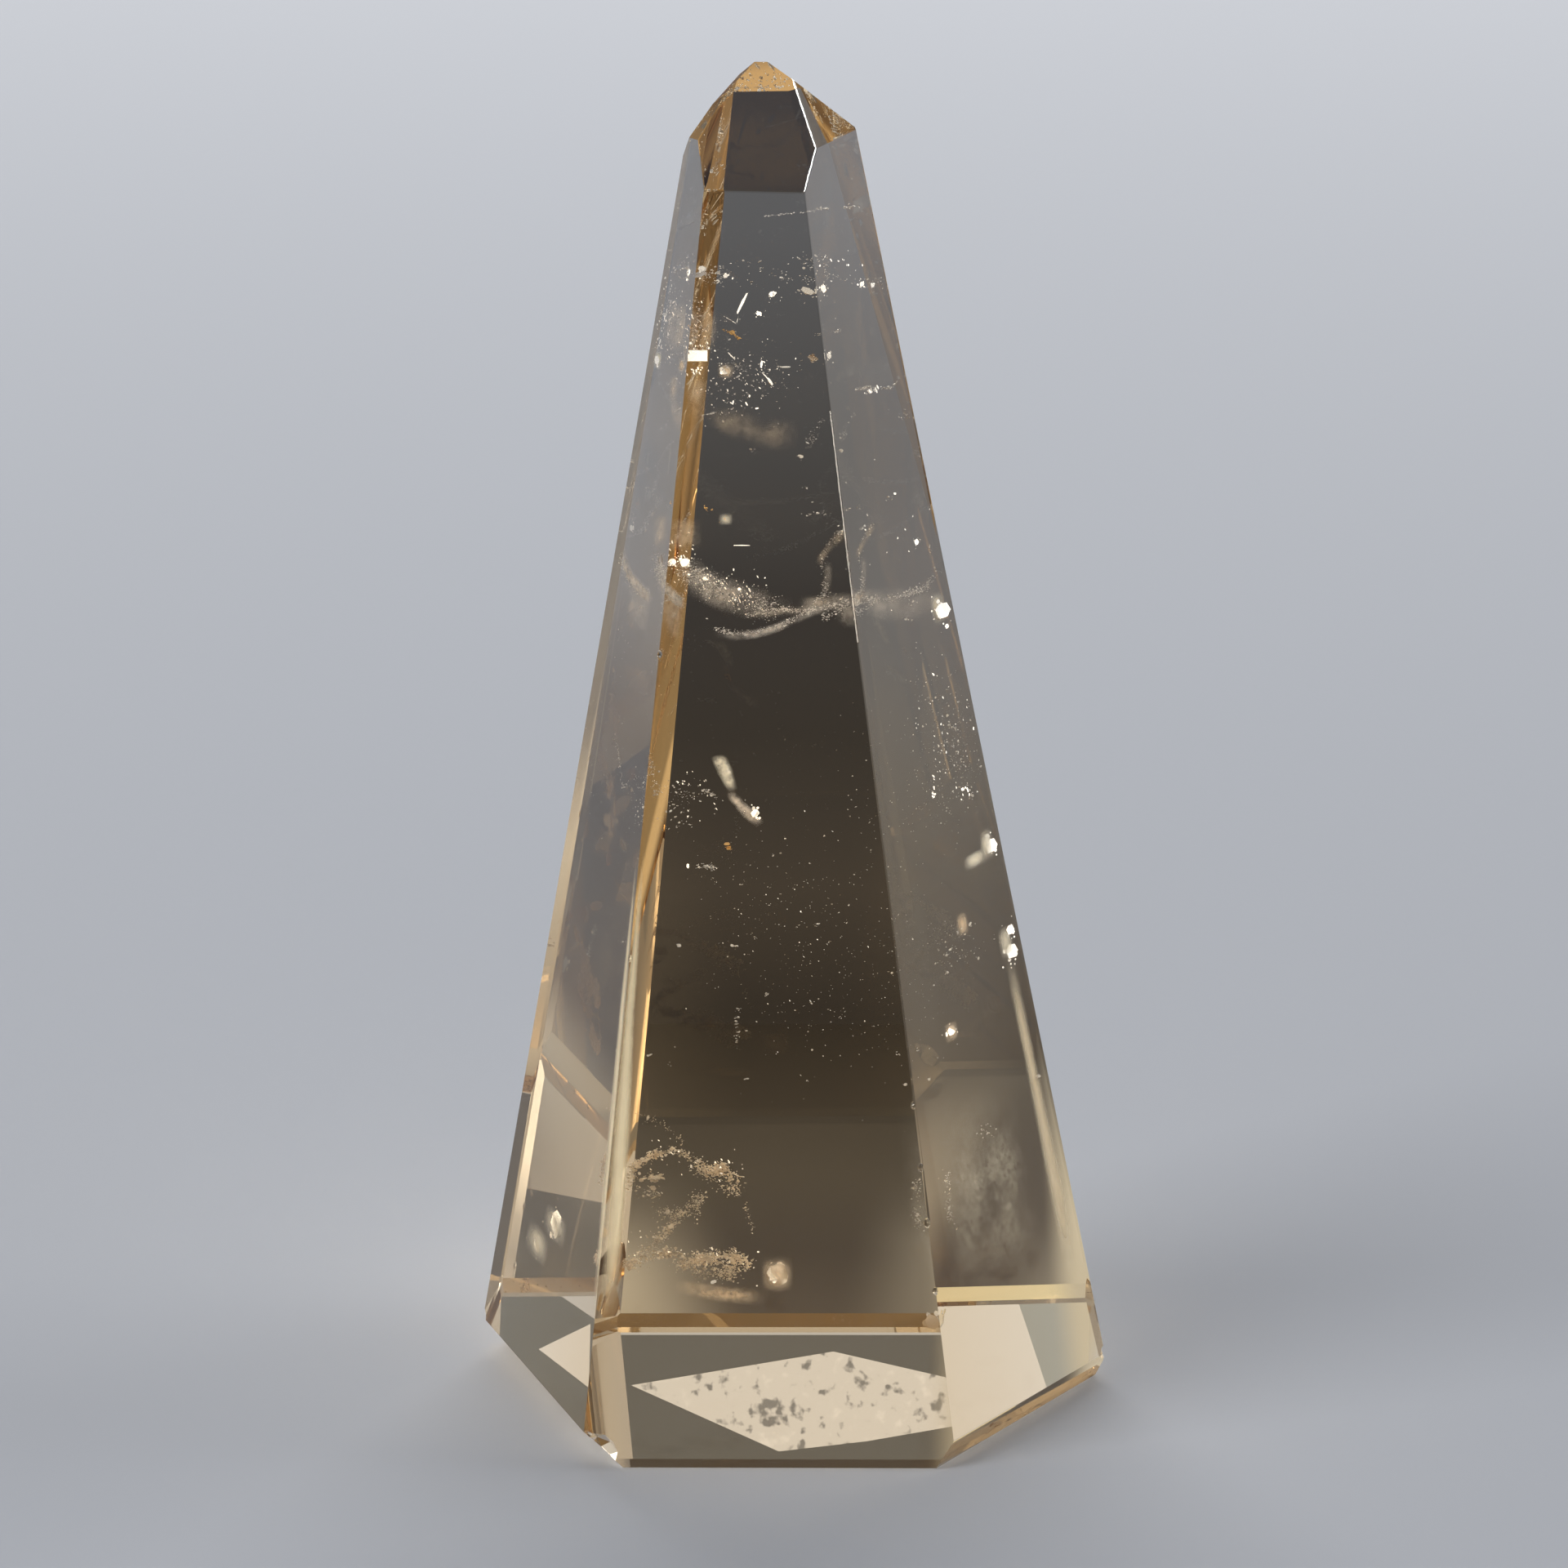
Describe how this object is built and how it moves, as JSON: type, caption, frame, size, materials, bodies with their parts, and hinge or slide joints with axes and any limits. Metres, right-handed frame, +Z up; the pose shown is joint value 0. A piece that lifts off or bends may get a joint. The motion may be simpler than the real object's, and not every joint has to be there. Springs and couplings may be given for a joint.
{
  "type": "crystal point",
  "caption": "Six-sided polished citrine tower that tapers to a faceted point and stands on a flat base with a bevelled rim.",
  "frame": {"origin": "middle of the base's bounding box, on the surface that the base rests on", "axes": "+Z up, from the base to the point; -Y towards the broad front face; +X to that face's right"},
  "size_m": [0.03, 0.0215, 0.064],
  "materials": {
    "citrine": "clear smoky golden quartz, polished",
    "veil": "milky healed fractures and bubbles sealed in the stone",
    "iron_stain": "brown and orange mineral specks sealed in the stone"
  },
  "bodies": {
    "root": {"crystal": "citrine"}
  },
  "joints": []
}
